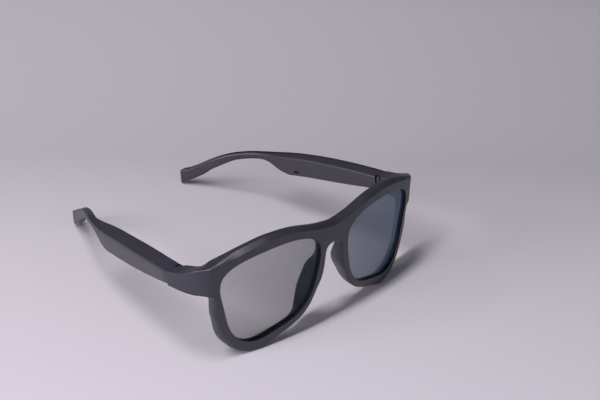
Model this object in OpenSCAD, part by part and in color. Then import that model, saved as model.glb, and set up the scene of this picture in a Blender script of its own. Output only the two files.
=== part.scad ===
// Smart sunglasses standing open on a table.
// A thick moulded front holds two tinted lenses. Each temple is a hollow housing with a cover
// plate on its outer face, and holds a battery, a circuit board, a microphone and a speaker.
// The front faces -Y, the temples run towards +Y, and rims and temple tips stand on z = 0.
// "Left" and "right" are the wearer's: the left temple is on the +X side.

/* [Front] */
// Radius of the front's curve across the face
face_radius = 205; // [180:5:240]
// Depth of the front from face to back
front_depth = 5.5; // [5:0.25:7]
// Height of the rim over each lens opening, up to the highest point of the brow
rim_top = 5.5; // [4.5:0.25:7]
// How far the brow dips at the bridge
bridge_dip = 4.8; // [3:0.2:6]
// Height of the bridge, from the arch over the nose to its top edge
bridge_h = 10.3; // [9:0.1:12]
// Half the width of the arch over the nose
arch_half = 5.3; // [4.6:0.1:6.5]
// Depth of the sloping bevel along the brow
bevel_depth = 2.5; // [1.5:0.25:3.5]
// Fall of the brow bevel from its ridge to the face
bevel_drop = 1.3; // [0.6:0.1:1.8]

/* [Lenses] */
// Width of each lens opening
lens_w = 52.5; // [50:0.5:54]
// Height of each lens opening
lens_h = 46; // [43:0.5:48]
// Distance between the two lens openings across the nose
lens_gap = 18.5; // [18:0.1:21]
// Height of the rim under each lens opening
rim_bottom = 5.8; // [4.5:0.1:7]
// Width of the rim's face on the outer side of each lens
rim_side = 2.9; // [2.5:0.1:4]
// Thickness of a lens
lens_thick = 1.8; // [1.5:0.1:2.2]
// Distance from the front's face back to the lens
lens_recess = 1.3; // [1:0.1:1.8]
// How far the lens edge reaches into its groove
lens_bite = 0.9; // [0.6:0.1:1.2]
// Clearance round a lens in its groove
lens_clear = 0.05; // [0.02:0.01:0.1]

/* [Nose pads] */
// How far the nose pads stand back from the front's face
pad_reach = 10.5; // [9:0.5:13]
// Radius of a nose pad's rounded edge
pad_round = 1.5; // [1.2:0.1:2]
// How far the back of each pad spreads away from the nose
pad_spread = 1.6; // [1:0.2:3]

/* [Endpieces] */
// Half the width across the hinges at the outer faces
hinge_half = 73.4; // [71:0.2:76]
// Distance from the front's face back to the seam between endpiece and temple
seam_back = 31; // [29:0.5:33]
// Fall from the highest point of the brow to the middle of the seam
seam_drop = 18.9; // [18:0.1:20]
// Fall from the highest point of the brow to the endpiece's top edge behind the lens
endpiece_drop = 7.7; // [6:0.1:9]
// Height of the endpiece
endpiece_h = 14.2; // [13:0.1:15]
// Width of endpiece and temple where they meet
seam_w = 9; // [8.5:0.1:9.5]

/* [Temples] */
// Angle at which a temple turns inward
temple_yaw = 7; // [5:0.5:9]
// Angle at which a temple drops towards its tip
temple_pitch = 9.4; // [8.8:0.1:10]
// Height of the temple above its axis at the electronics
temple_rise = 5; // [4.5:0.1:5.5]
// Depth of the temple below its axis at the electronics
temple_fall = 5.6; // [5:0.1:6]
// Length of the electronics section along the temple
paddle_len = 59; // [54:1:62]
// Thickness of the slim neck behind the electronics section, seen from the side
neck_h = 3.7; // [3.2:0.1:4.5]
// Width of the ear hook, seen from above
hook_w = 4.6; // [4:0.1:5.5]
// How far the ear hook bends inward from the temple's outer face
hook_in = 20.3; // [16:0.5:24]
// Height of the temple tip across its end
tip_h = 8.5; // [7:0.25:9.5]
// Length from the seam to the end of the tip, along the temple's axis
temple_len = 129.5; // [125:0.5:133]
// Wall thickness of the temple housing
wall = 1.1; // [0.9:0.05:1.3]
// Thickness of the outer cover plate
cover_thick = 1.3; // [1:0.1:1.6]
// Height of the lip of the housing above the cover plate
cover_lip = 0.6; // [0.4:0.05:0.8]
// Length of the cover plate along the temple
cover_len = 66; // [62:1:68]
// Shadow gap between the cover plate and the lip
cover_gap = 0.25; // [0.1:0.05:0.4]
// Gap between endpiece and temple at the seam
seam_gap = 0.15; // [0.1:0.05:0.3]

/* [Hinges] */
// Radius of the hinge pin
pin_r = 0.6; // [0.5:0.05:0.7]
// Running clearance between hinge pin and knuckle
pin_clear = 0.05; // [0.02:0.01:0.09]
// Outer radius of a hinge knuckle
knuckle_r = 1.5; // [1.3:0.05:1.6]
// Height of the whole hinge barrel
barrel_h = 5.8; // [5.2:0.1:6.2]
// Height of the middle knuckle, which belongs to the temple
middle_h = 2; // [1.6:0.1:2.4]
// Gap between knuckles
knuckle_gap = 0.1; // [0.05:0.05:0.2]
// Free space round the barrel for the knuckles to turn in
barrel_clear = 0.7; // [0.5:0.05:0.8]
// Thickness of a hinge leaf's tang
tang_thick = 1; // [0.8:0.1:1.2]
// Length of a hinge leaf's tang from the pin
tang_len = 9; // [8:0.5:9.5]

/* [Electronics] */
// Length of the battery
battery_len = 23; // [18:1:24]
// Thickness of the battery
battery_thick = 4.2; // [3.6:0.1:4.4]
// Height of the battery
battery_h = 4.8; // [4:0.2:5]
// Gap between the circuit board and the speaker
board_gap = 2; // [1.5:0.25:4]
// Height of the circuit board
board_h = 5.2; // [4.6:0.2:5.4]
// Thickness of the circuit board
board_thick = 0.8; // [0.6:0.1:1]
// Length of the speaker
speaker_len = 10.5; // [9:0.5:11]
// Height of the speaker
speaker_h = 7; // [6:0.25:7.5]
// Thickness of the speaker
speaker_thick = 4; // [3.5:0.1:4.4]
// Length of the sound outlet on the inner face
outlet_len = 3.4; // [2.6:0.2:4]
// Height of the sound outlet on the inner face
outlet_h = 1.6; // [1.2:0.1:2]

/* [Button and charging] */
// Length of the power button
button_len = 6; // [5:0.5:7]
// Width of the power button
button_w = 2.2; // [1.8:0.1:2.6]
// Travel of the power button
button_travel = 0.4; // [0.3:0.05:0.5]
// How far the power button stands out
button_proud = 0.5; // [0.45:0.05:0.7]
// Radius of a charging contact
contact_r = 0.9; // [0.7:0.1:1.1]
// Distance between the two charging contacts
contact_pitch = 4; // [3.4:0.2:5]
// Radius of the charging magnets
magnet_r = 1.5; // [1.2:0.1:1.7]

/* [Hidden] */

frame_tint = [0.23, 0.24, 0.27];
cover_tint = [0.25, 0.26, 0.29];
lens_tint = [0.36, 0.37, 0.40, 0.6];
steel_tint = [0.62, 0.63, 0.65];
board_tint = [0.08, 0.33, 0.20];
battery_tint = [0.75, 0.76, 0.78];
black_tint = [0.08, 0.08, 0.09];
gold_tint = [0.83, 0.66, 0.30];
copper_tint = [0.72, 0.45, 0.25];

far = 200;
round_fn = 48;
hull_fn = 24;

// Smooth open curve through points: a Catmull-Rom spline with "n" steps a span.
function spline_at(a, b, c, d, t) =
    0.5 * (2 * b + (c - a) * t + (2 * a - 5 * b + 4 * c - d) * t * t
    + (3 * b - a - 3 * c + d) * t * t * t);
function open_curve(p, n) = let (m = len(p) - 1) concat(
    [for (i = [0 : m - 1], k = [0 : n - 1])
        spline_at(p[max(i - 1, 0)], p[i], p[i + 1], p[min(i + 2, m)], k / n)], [p[m]]);
function backwards(p) = [for (i = [len(p) - 1 : -1 : 0]) p[i]];
function mirrored(p) = [for (q = p) [-q[0], q[1]]];
function column(p, k) = [for (q = p) q[k]];

// Lens outline: a squarish superellipse that is wider at the brow, with a few waves that
// bow its sides, scaled so that it fills exactly lens_w by lens_h.
lens_squareness = 3.25;
lens_flare = 0.2;
lens_slant = -0.047;
lens_waves = [[2, -0.0355, -0.024], [3, -0.02, -0.013], [4, 0.006, 0.018], [5, 0.002, 0.002],
    [6, 0.001, -0.003]];
lens_steps = 96;
function lens_raw(t) =
    let (c = cos(t), s = sin(t), n = lens_squareness,
        r = pow(pow(abs(c), n) + pow(abs(s), n), -1 / n),
        d = [for (w = lens_waves) w[1] * cos(w[0] * t) + w[2] * sin(w[0] * t)] * [1, 1, 1, 1, 1])
    [(r * c) * (1 + lens_flare * r * s) + d * c, 0.87 * (r * s) + lens_slant * r * c + d * s];
lens_shape = [for (i = [0 : lens_steps - 1]) lens_raw(i * 360 / lens_steps)];
lens_low = [min(column(lens_shape, 0)), min(column(lens_shape, 1))];
lens_high = [max(column(lens_shape, 0)), max(column(lens_shape, 1))];
lens_x0 = lens_gap / 2;
lens_x1 = lens_x0 + lens_w;
lens_z0 = rim_bottom;
lens_curve = [for (q = lens_shape) [
    lens_x0 + (q[0] - lens_low[0]) / (lens_high[0] - lens_low[0]) * lens_w,
    lens_z0 + (q[1] - lens_low[1]) / (lens_high[1] - lens_low[1]) * lens_h]];
// The lens outline moved outward by "grow", square to itself.
function lens_grown(grow) = [for (i = [0 : lens_steps - 1])
    let (a = lens_curve[(i + lens_steps - 1) % lens_steps], b = lens_curve[(i + 1) % lens_steps],
        d = (b - a) / norm(b - a))
    lens_curve[i] + grow * [d[1], -d[0]]];

// Depth of the face at a distance x from the middle, "inset" behind the front surface.
function face_y(x, inset) = face_radius - sqrt(pow(face_radius - inset, 2) - x * x);
face_step = 4;
face_end = lens_x1;
function face_arc(inset, x_end) = let (n = ceil(x_end / face_step))
    [for (i = [0 : n]) [x_end * i / n, face_y(x_end * i / n, inset)]];

// Outline of the front as seen from ahead, right half, from the top of the bridge round to
// the top of the nose arch. The endpiece runs past its true end and is cut by its plan shape.
lens_mid_x = lens_x0 + lens_w / 2;
rim_x = lens_x1 + rim_side;
beyond = hinge_half + 8;
brow_height = rim_bottom + lens_h + rim_top;
arch_height = brow_height - bridge_dip - bridge_h;
endpiece_top = brow_height - endpiece_drop;
endpiece_bottom = endpiece_top - endpiece_h;
seam_height = brow_height - seam_drop;
// Places on the outline: x from the rim's outer edge, from the lens middle or from the lens's
// nose side in widths of a lens, and z in heights of a lens above the rim's lower edge.
function from_rim(f) = rim_x - f * lens_w;
function from_mid(f) = lens_mid_x + f * lens_w;
function from_nose(f) = lens_x0 + f * lens_w;
function up_lens(f) = lens_z0 + f * lens_h;
function brow_fall(f) = brow_height - f * endpiece_drop;
top_half = [
    [0, brow_height - bridge_dip], [0.17 * lens_mid_x, brow_height - 0.86 * bridge_dip],
    [0.34 * lens_mid_x, brow_height - 0.64 * bridge_dip],
    [0.51 * lens_mid_x, brow_height - 0.34 * bridge_dip],
    [0.68 * lens_mid_x, brow_height - 0.09 * bridge_dip], [from_mid(-0.08), brow_height],
    [from_mid(0.06), brow_fall(0.03)], [from_mid(0.17), brow_fall(0.16)],
    [from_mid(0.29), brow_fall(0.35)], [from_mid(0.4), brow_fall(0.6)],
    [lens_x1, brow_fall(0.8)], [rim_x + 1, brow_fall(0.94)], [rim_x + 6, endpiece_top],
    [beyond, endpiece_top]
];
low_half = [
    [beyond, endpiece_bottom], [rim_x + 6, endpiece_bottom], [rim_x + 2.6, endpiece_bottom - 0.2],
    [rim_x + 0.7, endpiece_bottom - 1.6], [rim_x, endpiece_bottom - 4.6],
    [from_rim(0.015), up_lens(0.42)], [from_rim(0.037), up_lens(0.31)],
    [from_rim(0.066), up_lens(0.2)], [from_rim(0.11), up_lens(0.09)],
    [from_rim(0.165), rim_bottom * 0.93], [from_rim(0.238), rim_bottom * 0.36],
    [from_rim(0.32), rim_bottom * 0.07], [from_mid(0.19), 0], [from_mid(0.095), 0],
    [from_mid(0.02), rim_bottom * 0.22], [from_mid(-0.08), rim_bottom * 0.58],
    [from_mid(-0.185), rim_bottom * 0.94], [from_nose(0.206), up_lens(0.052)],
    [from_nose(0.15), up_lens(0.098)], [from_nose(0.084), up_lens(0.178)],
    [from_nose(0.05), up_lens(0.243)], [from_nose(0.006), up_lens(0.337)],
    [arch_half + 2.1, up_lens(0.422)], [arch_half + 0.8, up_lens(0.515)],
    [arch_half + 0.1, arch_height - 6.2], [arch_half - 0.3, arch_height - 3],
    [arch_half - 1.6, arch_height - 0.8], [0, arch_height]
];
top_curve = open_curve(concat([mirrored([top_half[1]])[0]], top_half), 3);
low_curve = open_curve(concat(low_half, [mirrored([low_half[len(low_half) - 2]])[0]]), 3);
// The helper points beyond the mid-plane only steer the spline and are dropped here.
top_run = [for (q = top_curve) if (q[0] >= 0) q];
low_run = [for (q = low_curve) if (q[0] >= 0) q];
front_half = concat(top_run, low_run);
front_outline = concat(front_half, backwards([for (q = mirrored(front_half)) if (q[0] < 0) q]));

// Plan of the front and of its endpieces, right half.
corner_run = [
    [face_end + 1, face_y(face_end + 1, 0)], [hinge_half - 7.3, face_y(face_end, 0) + 1.1],
    [hinge_half - 4.1, face_y(face_end, 0) + 3.5], [hinge_half - 1.8, face_y(face_end, 0) + 7.6],
    [hinge_half - 0.5, face_y(face_end, 0) + 13], [hinge_half, seam_back], [hinge_half, seam_back + 6]
];
seam_in = hinge_half - seam_w;
inner_run = [
    [seam_in, seam_back + 6], [seam_in, seam_back], [seam_in - 0.4, seam_back - 7],
    [seam_in - 1.6, face_y(face_end, front_depth) + 1.6],
    [seam_in - 4, face_y(seam_in - 4, front_depth) + 0.2]
];
plan_half = concat(face_arc(0, face_end), open_curve(corner_run, 3), open_curve(inner_run, 3),
    backwards(face_arc(front_depth, seam_in - 6)));
plan_outline = concat(plan_half, backwards([for (q = mirrored(plan_half)) if (q[0] < 0) q]));

// Side view of the endpieces as [y, z], whose top falls towards the seam.
back_y = face_y(face_end, front_depth);
side_outline = [
    [-far, 0], [back_y + 1, 0], [back_y + 1, endpiece_bottom - 3],
    [back_y + 3, endpiece_bottom - 0.2], [seam_back, seam_height - 4.1],
    [seam_back + 6, seam_height - 5.3], [seam_back + 6, seam_height + 2.6],
    [seam_back + 1, seam_height + 3.4], [seam_back - 4, seam_height + 5.2],
    [back_y + 4, seam_height + 7.8], [back_y + 1.2, endpiece_top - 0.4],
    [back_y, endpiece_top + 2], [back_y, far], [-far, far]
];

module placed() { translate([0, -centre_y, 0]) children(); }
module above_table() {
    difference() {
        children();
        box([-far, -far, -far], [far, far, 0]);
    }
}

// Frame of reference of the left temple: x across and outward, y along the temple from the
// seam, z up and square to both.
module on_temple() {
    translate([hinge_half - seam_w / 2, seam_back, seam_height])
        rotate([0, 0, temple_yaw]) rotate([-temple_pitch, 0, 0]) children();
}
module on_left() { placed() on_temple() children(); }
module on_right() { placed() mirror([1, 0, 0]) on_temple() children(); }

// Extrusions of an outline seen from ahead [x, z], from the side [y, z] and from above.
module seen_from_ahead(points, y0, y1) {
    translate([0, y1, 0]) rotate([90, 0, 0]) linear_extrude(y1 - y0) polygon(points);
}
module seen_from_side(points, x0, x1) {
    translate([x0, 0, 0]) rotate([90, 0, 90]) linear_extrude(x1 - x0) polygon(points);
}
module seen_from_above(points, z0, z1) {
    translate([0, 0, z0]) linear_extrude(z1 - z0) polygon(points);
}
module box(low, high) { translate(low) cube(high - low); }

// Hinge barrel on the inner side of the seam.
pivot_v = -seam_w / 2 + knuckle_r + 0.15;
pocket_r = knuckle_r + barrel_clear;
seam_zone = 2.2 * seam_w;
module along_pin(r, z0, z1) {
    translate([pivot_v, 0, z0]) cylinder(r = r, h = z1 - z0, $fn = round_fn);
}
module pin_bore(extra) { along_pin(pin_r + pin_clear, -barrel_h / 2 - extra, barrel_h / 2 + extra); }
tang_v0 = pivot_v - tang_thick / 2;
tang_root = pocket_r + 0.1;

module hinge_front_leaf() {
    color(steel_tint) difference() {
        union() {
            for (side = [-1, 1]) {
                z0 = side < 0 ? -barrel_h / 2 : middle_h / 2 + knuckle_gap;
                z1 = side < 0 ? -middle_h / 2 - knuckle_gap : barrel_h / 2;
                along_pin(knuckle_r, z0, z1);
                box([tang_v0, -tang_root - 0.5, z0], [tang_v0 + tang_thick, 0, z1]);
            }
            box([tang_v0, -tang_len, -barrel_h / 2], [tang_v0 + tang_thick, -tang_root, barrel_h / 2]);
        }
        pin_bore(1);
    }
}
module hinge_temple_leaf() {
    color(steel_tint) difference() {
        union() {
            along_pin(knuckle_r, -middle_h / 2, middle_h / 2);
            box([tang_v0, 0, -middle_h / 2], [tang_v0 + tang_thick, tang_root + 0.5, middle_h / 2]);
            box([tang_v0, tang_root, -barrel_h / 2 + 0.4],
                [tang_v0 + tang_thick, tang_len, barrel_h / 2 - 0.4]);
        }
        pin_bore(1);
    }
}
head_h = 0.45;
module hinge_screw() {
    color(steel_tint) difference() {
        union() {
            along_pin(pin_r, -barrel_h / 2, barrel_h / 2);
            along_pin(knuckle_r - 0.2, barrel_h / 2, barrel_h / 2 + head_h);
        }
        box([pivot_v - 0.15, -far, barrel_h / 2 + head_h / 2], [pivot_v + 0.15, far, far]);
    }
}

// Front moulding with its two nose pads.
pad_root = front_depth - 1.5;
pad_points = [
    [arch_half + 1.8, pad_root, 0.635], [arch_half + 2.1, pad_reach - 2, 0.575],
    [arch_half + 3, pad_root, 0.46], [arch_half + 3, pad_reach, 0.46],
    [arch_half + 6, pad_reach, 0.33], [arch_half + 8.2, pad_reach - 2, 0.22],
    [arch_half + 10.2, pad_root, 0.16]
];
module nose_pad() {
    hull() for (p = pad_points)
        translate([p[0] + pad_spread * (p[1] - pad_root) / (pad_reach - pad_root),
            p[1] - pad_round, up_lens(p[2])])
            sphere(r = pad_round, $fn = hull_fn);
}
// Everything below the brow bevel: a prism tilted back, which meets the curved face bevel_drop
// under the top edge. The bevel fades out at the corner.
bevel_angle = atan(bevel_drop / bevel_depth);
bevel_end = rim_x + 2;
bevel_fade = 12;
function bevel_at(x) = bevel_drop * min(1, (bevel_end - x) / bevel_fade);
module below_brow_bevel() {
    edge = [for (q = top_run) if (q[0] <= bevel_end) [q[0],
        (q[1] - bevel_at(q[0]) - tan(bevel_angle) * face_y(q[0], 0)) * cos(bevel_angle)]];
    keep = concat(edge, [[bevel_end + 3, far], [far, far], [far, -far], [0, -far]]);
    both = concat(keep, backwards([for (q = mirrored(keep)) if (q[0] < 0) q]));
    rotate([bevel_angle, 0, 0]) seen_from_ahead(both, -far, far);
}
module lens_body(grow, clear) {
    intersection() {
        seen_from_ahead(lens_grown(grow), -1, far);
        lens_slab(clear);
    }
}
module lens_slab(clear) {
    front = face_arc(lens_recess - clear, lens_x1 + 3);
    back = face_arc(lens_recess + lens_thick + clear, lens_x1 + 3);
    half = concat(front, backwards(back));
    seen_from_above(concat(half, backwards([for (q = mirrored(half)) if (q[0] < 0) q])), -far, far);
}
module mirror_both() { children(); mirror([1, 0, 0]) children(); }

module front_frame() {
    placed() color(frame_tint) difference() {
        union() {
            intersection() {
                seen_from_above(plan_outline, -1, far);
                seen_from_ahead(front_outline, -10, far);
                seen_from_side(side_outline, -far, far);
                below_brow_bevel();
            }
            mirror_both() nose_pad();
        }
        mirror_both() {
            seen_from_ahead(lens_curve, -10, far);
            lens_body(lens_bite + lens_clear, lens_clear);
            on_temple() {
                box([-seam_zone, 0, -seam_zone], [seam_zone, 2 * seam_zone, seam_zone]);
                along_pin(pocket_r, -seam_zone, seam_zone);
                box([-seam_zone, -pocket_r * 0.8, -seam_zone], [pivot_v, 1, seam_zone]);
                box([tang_v0, -tang_len, -barrel_h / 2], [tang_v0 + tang_thick, 0, barrel_h / 2]);
            }
        }
    }
}

module lens() { color(lens_tint) lens_body(lens_bite, 0); }

// Plan of the temple as [across, along]. The hook starts behind the slim neck.
outer_v = 4.85;
inner_v = outer_v - seam_w;
hook_start = paddle_len + 26;
function along_paddle(f) = f * paddle_len;
function along_hook(f) = hook_start + f * (temple_len - hook_start);
function bent_in(f) = outer_v - f * hook_in;
outer_run = [
    [outer_v - 0.35, -2], [outer_v, along_paddle(0.19)], [outer_v, along_paddle(0.53)],
    [bent_in(0.042), along_paddle(0.86)], [bent_in(0.112), paddle_len + 6],
    [bent_in(0.278), paddle_len + 21], [bent_in(0.503), along_hook(0.225)],
    [bent_in(0.752), along_hook(0.607)], [bent_in(1), temple_len + 1]
];
inner_plan_run = [
    [bent_in(1) - hook_w, temple_len + 1], [bent_in(0.752) - hook_w, along_hook(0.607)],
    [bent_in(0.503) - hook_w, along_hook(0.225)], [bent_in(0.278) - hook_w, paddle_len + 22],
    [inner_v - 0.2, paddle_len + 13], [inner_v - 0.45, paddle_len + 5],
    [inner_v - 0.4, paddle_len - 4], [inner_v, paddle_len - 15], [inner_v, along_paddle(0.53)],
    [inner_v, along_paddle(0.19)], [inner_v - 0.35, -2]
];
outer_curve = open_curve(outer_run, 3);
temple_plan = concat(outer_curve, open_curve(inner_plan_run, 3));
function across_at(u) = lookup(u, [for (q = outer_curve) [q[1], q[0]]]);

// Side of the temple as [along, up]. The tip's lower corner lies rest_cut under the table, where
// the tip is cut flat to stand on it.
tip_angle = 28;
rest_cut = 0.35;
tip_low_u = temple_len - tip_h * sin(tip_angle);
tip_low_w = (tip_low_u * sin(temple_pitch) - seam_height - rest_cut) / cos(temple_pitch);
tip_low = [tip_low_u, tip_low_w];
tip_top = tip_low + tip_h * [sin(tip_angle), cos(tip_angle)];
neck_top = 4.1;
neck_low = neck_top - neck_h;
function hook_top(f, g) = [along_hook(f), neck_top + g * (tip_top[1] - neck_top)];
function hook_low(f, g) = [along_hook(f), neck_low + g * (tip_low[1] - neck_low)];
// The whole model is moved so that its box is centred on x = 0, y = 0: from the face at the
// bridge to the outer upper corner of the tip.
function temple_y(across, along, up) = seam_back + across * sin(temple_yaw)
    + cos(temple_yaw) * (along * cos(temple_pitch) + up * sin(temple_pitch));
centre_y = temple_y(bent_in(1), temple_len - 0.2, tip_top[1] - 0.25) / 2;
top_side = [
    [-2, 3.1], [along_paddle(0.1), 3.7], [along_paddle(0.33), temple_rise - 0.5],
    [along_paddle(0.55), temple_rise - 0.05], [along_paddle(0.74), temple_rise + 0.1],
    [paddle_len - 3, temple_rise - 0.1], [paddle_len + 9, neck_top + 0.2],
    [paddle_len + 18, neck_top], [hook_start, neck_top - 0.1], hook_top(0.135, 0.046),
    hook_top(0.281, 0.119), hook_top(0.423, 0.246), hook_top(0.582, 0.434), hook_top(0.74, 0.64),
    hook_top(0.908, 0.861), tip_top - [1.2, -0.6]
];
end_side = [
    tip_top - [0.4, 0.3], tip_top - [0.3, 1.6], tip_low + [0.35, 1.2], tip_low - [0.5, -0.2],
    tip_low - [2, -0.35]
];
low_side = [
    hook_low(0.7, 0.704), hook_low(0.555, 0.49), hook_low(0.385, 0.271), hook_low(0.213, 0.09),
    hook_low(0.079, 0.026), [paddle_len + 24, neck_low], [paddle_len + 18, neck_low],
    [paddle_len + 13, -0.9], [paddle_len + 9, -2.9], [paddle_len + 5, -4.5],
    [paddle_len, -temple_fall], [paddle_len - 5, 0.15 - temple_fall],
    [along_paddle(0.77), 0.35 - temple_fall], [along_paddle(0.58), 0.6 - temple_fall],
    [along_paddle(0.34), 0.95 - temple_fall], [along_paddle(0.1), -3.9], [-2, -3.6]
];
temple_side = concat(open_curve(top_side, 3), open_curve(end_side, 2), open_curve(low_side, 3));
function top_at(u) = lookup(u, open_curve(top_side, 3));
function low_at(u) = lookup(u, backwards(open_curve(low_side, 3)));

module temple_solid() {
    intersection() {
        seen_from_above(temple_plan, -far, far);
        seen_from_side(temple_side, -far, far);
        box([-far, seam_gap, -far], [far, far, far]);
    }
}

// Outer cover plate: the outermost slice of the temple below the lip.
cover_start = 4;
cover_steps = [for (i = [0 : 12]) cover_start + (cover_len - cover_start) * i / 12];
module cover_zone(depth, gap) {
    plan = concat([for (u = cover_steps) [across_at(u) - depth, u]],
        [[far, cover_len], [far, cover_start]]);
    side = concat([for (u = cover_steps) [u, top_at(u) - cover_lip + gap]],
        [[cover_len, -far], [cover_start, -far]]);
    intersection() {
        seen_from_above(plan, -far, far);
        seen_from_side(side, -far, far);
    }
}
module temple_cover_shape() {
    color(cover_tint) intersection() {
        temple_solid();
        cover_zone(cover_thick, -cover_gap);
    }
}

// Hollow behind the cover plate.
bay_start = tang_len + 0.8;
bay_end = paddle_len - 1;
bay_steps = [for (i = [0 : 8]) bay_start + (bay_end - bay_start) * i / 8];
bay_floor_v = inner_v + wall;
cover_seat = 0.7;
module bay() {
    side = concat([for (u = bay_steps) [u, top_at(u) - cover_lip - cover_seat]],
        backwards([for (u = bay_steps) [u, low_at(u) + wall]]));
    plan = [[bay_floor_v, bay_start], [bay_floor_v, bay_end], [far, bay_end], [far, bay_start]];
    intersection() {
        seen_from_side(side, -far, far);
        seen_from_above(plan, -far, far);
    }
}
battery_v0 = bay_floor_v + 0.05;
battery_u0 = bay_start + 0.3;
speaker_u1 = bay_end - 0.3;
speaker_u0 = speaker_u1 - speaker_len;
speaker_v0 = bay_floor_v;
speaker_w = -0.1;
board_u0 = bay_start + 0.4;
board_u1 = speaker_u0 - board_gap;
board_len = board_u1 - board_u0;
board_v = across_at(board_u1) - cover_thick - 0.25 - board_thick;
outlet_u = speaker_u0 + 0.55 * speaker_len;
outlet_w = low_at(outlet_u) + wall + 0.2 + outlet_h / 2;
mic_u = battery_u0 + battery_len + 1.8;
mic_hole_r = 0.35;

module stadium(length, width, h) {
    for (end = [-1, 1])
        translate([0, end * (length - width) / 2, 0]) cylinder(d = width, h = h, $fn = 32);
    translate([-width / 2, -(length - width) / 2, 0]) cube([width, length - width, h]);
}
// Places a stadium on the inner face of the temple, its depth running towards +x.
module on_inner_face(u, w, v) { translate([v, u, w]) rotate([0, 90, 0]) children(); }

module temple_housing_shape(with_button) {
    color(frame_tint) difference() {
        temple_solid();
        cover_zone(cover_thick + 0.02, 0);
        bay();
        along_pin(pocket_r, -seam_zone, seam_zone);
        box([-seam_zone, -1, -seam_zone], [pivot_v, pocket_r * 0.35, seam_zone]);
        box([tang_v0, 0, -middle_h / 2], [tang_v0 + tang_thick, tang_root + 0.5, middle_h / 2]);
        box([tang_v0, tang_root, -barrel_h / 2 + 0.4],
            [tang_v0 + tang_thick, tang_len, barrel_h / 2 - 0.4]);
        on_inner_face(outlet_u, outlet_w, inner_v - 3) stadium(outlet_len, outlet_h, 6);
        translate([board_v - 0.5, mic_u, -far]) cylinder(r = mic_hole_r, h = far, $fn = round_fn);
        if (with_button) {
            translate([button_v, button_u, -far]) stadium(button_len + 0.2, button_w + 0.2, far);
            for (end = [-1, 1]) {
                on_inner_face(contact_u + end * contact_pitch / 2, 0, inner_v - 3)
                    cylinder(r = contact_r, h = 6, $fn = round_fn);
                on_inner_face(contact_u + end * magnet_pitch / 2, 0, inner_v + magnet_skin)
                    cylinder(r = magnet_r, h = 3, $fn = round_fn);
            }
        }
    }
}

module battery_shape() {
    color(battery_tint) translate([battery_v0, battery_u0, -battery_h / 2 - 0.4])
        cube([battery_thick, battery_len, battery_h]);
}
// Chips on the board: place along it, length, height and thickness.
chip_list = [[0.8, 3.4, 3.2, 0.9], [0.62, 2.2, 3, 0.7]];
module circuit_board_shape() {
    color(board_tint) translate([board_v, board_u0, -board_h / 2 - 0.1])
        cube([board_thick, board_len, board_h]);
    color(black_tint) for (c = chip_list)
        translate([board_v - c[3], board_u0 + c[0] * board_len - c[1] / 2, -c[2] / 2 + 0.85])
            cube([c[3], c[1], c[2]]);
}
module microphone_shape() {
    color(steel_tint) translate([board_v - 1, mic_u - 1.3, -board_h / 2 - 0.1]) cube([1, 2.6, 1.8]);
}
module speaker_shape() {
    color(black_tint) translate([speaker_v0, speaker_u0, speaker_w - speaker_h / 2])
        cube([speaker_thick - 1, speaker_len, speaker_h]);
    color(steel_tint)
        translate([speaker_v0 + speaker_thick - 1, speaker_u0 + 1, speaker_w - speaker_h / 2 + 1])
            cube([1, speaker_len - 2, speaker_h - 2]);
}
mesh_hole_r = 0.22;
module speaker_mesh_shape() {
    color(black_tint) difference() {
        on_inner_face(outlet_u, outlet_w, inner_v + 0.5) stadium(outlet_len, outlet_h, wall - 0.5);
        for (k = [-2 : 2])
            on_inner_face(outlet_u + k * outlet_len / 6.5, outlet_w, inner_v - 3)
                cylinder(r = mesh_hole_r, h = 8, $fn = 16);
    }
}
flex_thick = 0.2;
flex_w = 2.4;
module speaker_flex_shape() {
    u0 = board_u1 - 1.2;
    u1 = speaker_u0 + 3;
    v0 = board_v - flex_thick;
    v1 = speaker_v0 + speaker_thick;
    path = [[v0, u0], [v0, speaker_u0 - 0.6], [v1, speaker_u0 + 1.2], [v1, u1]];
    outline = concat([for (p = path) p + [flex_thick, 0]], backwards(path));
    color(copper_tint) seen_from_above(outline, 0.8, 0.8 + flex_w);
}

// Right temple only: power button, its switch, and the charging contacts and magnets.
button_u = battery_u0 + battery_len + button_len / 2 + 2.2;
button_v = 0.6;
button_low = low_at(button_u);
flange_h = 0.4;
switch_h = 1;
module power_button_shape() {
    flange_z = button_low + wall + 0.15;
    color(black_tint) translate([button_v, button_u, 0]) {
        translate([0, 0, button_low - button_proud])
            stadium(button_len, button_w, flange_z - button_low + button_proud);
        translate([0, 0, flange_z]) stadium(button_len + 1.2, button_w + 1, flange_h);
    }
}
module button_switch_shape() {
    z0 = button_low + wall + 0.15 + flange_h + button_travel + 0.1;
    color(steel_tint)
        box([button_v - 0.9, button_u - 1.4, z0], [board_v, button_u + 1.4, z0 + switch_h]);
}
magnet_skin = 0.4;
magnet_pitch = contact_pitch + 2 * (contact_r + magnet_r + 0.3);
contact_u = bay_start + magnet_pitch / 2 + magnet_r + 1;
module charging_contacts_shape() {
    color(gold_tint) for (end = [-1, 1])
        on_inner_face(contact_u + end * contact_pitch / 2, 0, inner_v + 0.15)
            cylinder(r = contact_r, h = wall - 0.15, $fn = round_fn);
}
module charging_magnets_shape() {
    color(steel_tint) for (end = [-1, 1])
        on_inner_face(contact_u + end * magnet_pitch / 2, 0, inner_v + magnet_skin)
            cylinder(r = magnet_r, h = wall - magnet_skin, $fn = round_fn);
}

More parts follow.
